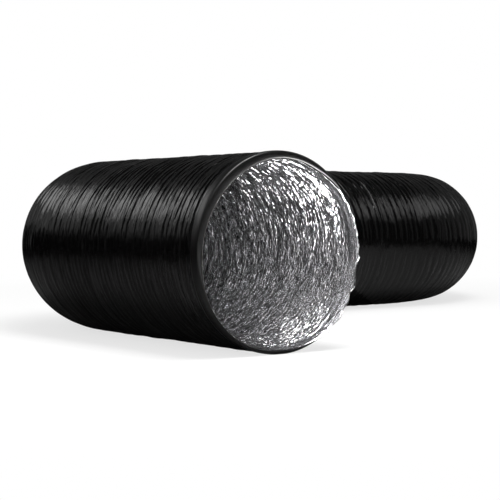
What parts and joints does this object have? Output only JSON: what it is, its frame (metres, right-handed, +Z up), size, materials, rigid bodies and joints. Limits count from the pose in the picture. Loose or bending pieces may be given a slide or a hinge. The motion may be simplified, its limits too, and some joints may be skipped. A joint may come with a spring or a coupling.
{
  "type": "flexible air duct",
  "caption": "Black flexible air duct with a ribbed film jacket over a spring wire, lined with crinkled aluminium foil, lying in an S with two open mouths.",
  "frame": {"origin": "centre of the near mouth, on its end face", "axes": "+Y from the near mouth into the duct, +X along the middle straight, +Z up from the floor that the duct lies on"},
  "size_m": [0.983, 0.8, 0.2075],
  "materials": {
    "jacket": "semi-gloss film",
    "wire": "drawn",
    "liner": "crinkled foil",
    "band": "satin tape"
  },
  "bodies": {
    "near_end": {"jacket_near_end": "jacket", "wire_near_end": "wire", "liner_near_end": "liner", "jacket_near_fold": "jacket", "wire_near_fold": "wire", "liner_near_fold": "liner", "near_band": "band"},
    "near_run": {"jacket_near_run": "jacket", "wire_near_run": "wire", "liner_near_run": "liner", "jacket_bend_1_entry_fold": "jacket", "wire_bend_1_entry_fold": "wire", "liner_bend_1_entry_fold": "liner"},
    "bend_1": {"jacket_bend_1": "jacket", "wire_bend_1": "wire", "liner_bend_1": "liner", "jacket_bend_1_exit_fold": "jacket", "wire_bend_1_exit_fold": "wire", "liner_bend_1_exit_fold": "liner"},
    "middle_a": {"jacket_middle_a": "jacket", "wire_middle_a": "wire", "liner_middle_a": "liner", "jacket_middle_fold": "jacket", "wire_middle_fold": "wire", "liner_middle_fold": "liner"},
    "middle_b": {"jacket_middle_b": "jacket", "wire_middle_b": "wire", "liner_middle_b": "liner", "jacket_bend_2_entry_fold": "jacket", "wire_bend_2_entry_fold": "wire", "liner_bend_2_entry_fold": "liner"},
    "bend_2": {"jacket_bend_2": "jacket", "wire_bend_2": "wire", "liner_bend_2": "liner", "jacket_bend_2_exit_fold": "jacket", "wire_bend_2_exit_fold": "wire", "liner_bend_2_exit_fold": "liner"},
    "far_end": {"jacket_far_end": "jacket", "wire_far_end": "wire", "liner_far_end": "liner", "far_band": "band"}
  },
  "joints": [
    {"name": "bend_1_exit", "type": "hinge", "parent": "middle_a", "child": "bend_1", "pos_m": [0.193, 0.475, 0], "axis": [0, 0, -1], "range_deg": [-15, 35], "deforming": ["jacket_bend_1_exit_fold", "wire_bend_1_exit_fold", "liner_bend_1_exit_fold"]},
    {"name": "bend_1_entry", "type": "hinge", "parent": "bend_1", "child": "near_run", "pos_m": [0, 0.282, 0], "axis": [0, 0, -1], "range_deg": [-15, 35], "deforming": ["jacket_bend_1_entry_fold", "wire_bend_1_entry_fold", "liner_bend_1_entry_fold"]},
    {"name": "near_stretch", "type": "slide", "parent": "near_run", "child": "near_end", "axis": [0, -1, 0], "range_m": [-0.045, 0.09], "deforming": ["jacket_near_fold", "wire_near_fold", "liner_near_fold"]},
    {"name": "middle_stretch", "type": "slide", "parent": "middle_a", "child": "middle_b", "axis": [1, 0, 0], "range_m": [-0.045, 0.09], "deforming": ["jacket_middle_fold", "wire_middle_fold", "liner_middle_fold"]},
    {"name": "bend_2_entry", "type": "hinge", "parent": "middle_b", "child": "bend_2", "pos_m": [0.56, 0.475, 0], "axis": [0, 0, -1], "range_deg": [-15, 35], "deforming": ["jacket_bend_2_entry_fold", "wire_bend_2_entry_fold", "liner_bend_2_entry_fold"]},
    {"name": "bend_2_exit", "type": "hinge", "parent": "bend_2", "child": "far_end", "pos_m": [0.775, 0.69, 0], "axis": [0, 0, -1], "range_deg": [-15, 35], "deforming": ["jacket_bend_2_exit_fold", "wire_bend_2_exit_fold", "liner_bend_2_exit_fold"]}
  ],
  "couplings": [
    {"joint": "bend_1_entry", "follows": "bend_1_exit", "ratio": 1},
    {"joint": "bend_2_exit", "follows": "bend_2_entry", "ratio": 1}
  ]
}
